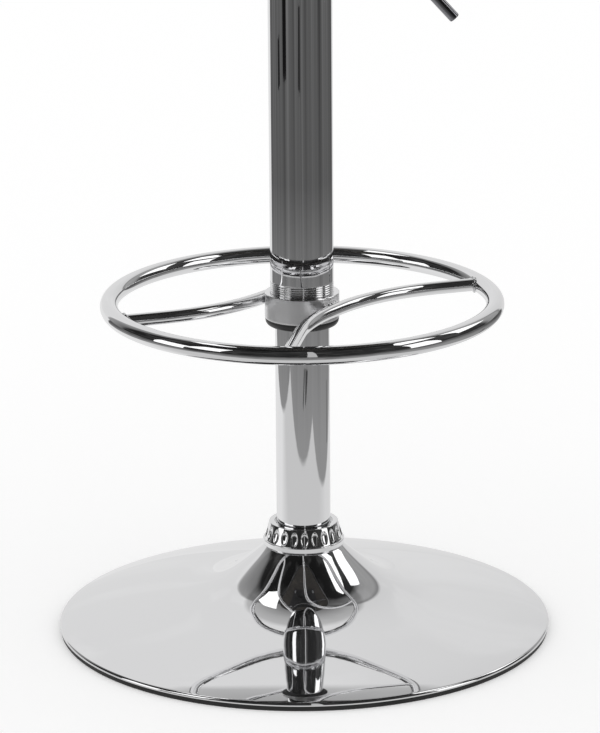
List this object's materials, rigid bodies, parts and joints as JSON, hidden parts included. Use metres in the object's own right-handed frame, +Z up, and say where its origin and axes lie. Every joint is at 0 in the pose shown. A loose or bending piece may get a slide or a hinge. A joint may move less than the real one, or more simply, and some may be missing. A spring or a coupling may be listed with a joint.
{
  "type": "bar stool",
  "caption": "Swivel bar stool on a chromed trumpet base, with a gas lift column, a ring footrest on a threaded collar, a release lever and a round padded seat.",
  "frame": {"origin": "on the floor, on the swivel axis, at the centre of the base's rubber ring", "axes": "+Z up along the column, +X towards the release lever; the picture looks along +Y"},
  "size_m": [0.457, 0.457, 0.7225],
  "materials": {
    "chrome_plate": "bright decorative chrome plating on steel sheet, tube and bar",
    "floor_rubber": "matt black moulded rubber",
    "bush_plastic": "black moulded nylon",
    "cage_plastic": "natural nylon",
    "bare_steel": "zinc plated or ground steel",
    "black_enamel": "black powder coat",
    "seat_plywood": "birch plywood stained nearly black",
    "seat_cover": "black synthetic leather over foam"
  },
  "bodies": {
    "base": {"base_dish": "chrome_plate", "base_floor_ring": "floor_rubber", "base_socket": "black_enamel", "base_gussets": "black_enamel", "base_cap_ring": "chrome_plate", "column_tube": "chrome_plate", "column_end_plate": "bare_steel", "column_guide_bush": "bush_plastic", "bearing_lower_race": "bare_steel", "bearing_balls": "bare_steel", "bearing_cage": "cage_plastic"},
    "piston": {"bearing_upper_race": "bare_steel", "piston_rod": "bare_steel", "piston_head": "bare_steel", "rubber_bumper": "floor_rubber", "rod_washer": "bare_steel", "rod_clip": "bare_steel"},
    "upper": {"gas_cylinder": "black_enamel", "cylinder_gland": "bush_plastic", "sleeve_tube": "chrome_plate", "sleeve_guide_bush": "bush_plastic", "footrest_collar": "chrome_plate", "footrest_ring": "chrome_plate", "footrest_rod_front": "chrome_plate", "footrest_rod_rear": "chrome_plate", "mechanism_pan": "black_enamel", "mechanism_socket": "black_enamel", "lever_bracket": "black_enamel", "lever_pivot_pin": "bare_steel", "lever_pivot_clip": "bare_steel", "seat_board": "seat_plywood", "seat_screws": "bare_steel", "seat_screw_washers": "bare_steel", "seat_tee_nuts": "bare_steel", "seat_cushion": "seat_cover"},
    "lever": {"release_lever": "chrome_plate"},
    "valve": {"release_pin": "bare_steel"}
  },
  "joints": [
    {"name": "seat_swivel", "type": "hinge", "parent": "base", "child": "piston", "pos_m": [0, 0, 0.02], "axis": [0, 0, 1], "continuous": true},
    {"name": "seat_height", "type": "slide", "parent": "piston", "child": "upper", "axis": [0, 0, 1], "range_m": [-0.13, 0.08]},
    {"name": "lever_pull", "type": "hinge", "parent": "upper", "child": "lever", "pos_m": [0.022, 0, 0.636], "axis": [0, -1, 0], "range_deg": [0, 6], "stiffness_Nm_per_rad": 2},
    {"name": "valve_press", "type": "slide", "parent": "upper", "child": "valve", "axis": [0, 0, -1], "range_m": [0, 0.003]}
  ],
  "couplings": [
    {"joint": "valve_press", "follows": "lever_pull", "m_per_rad": 0.026}
  ]
}
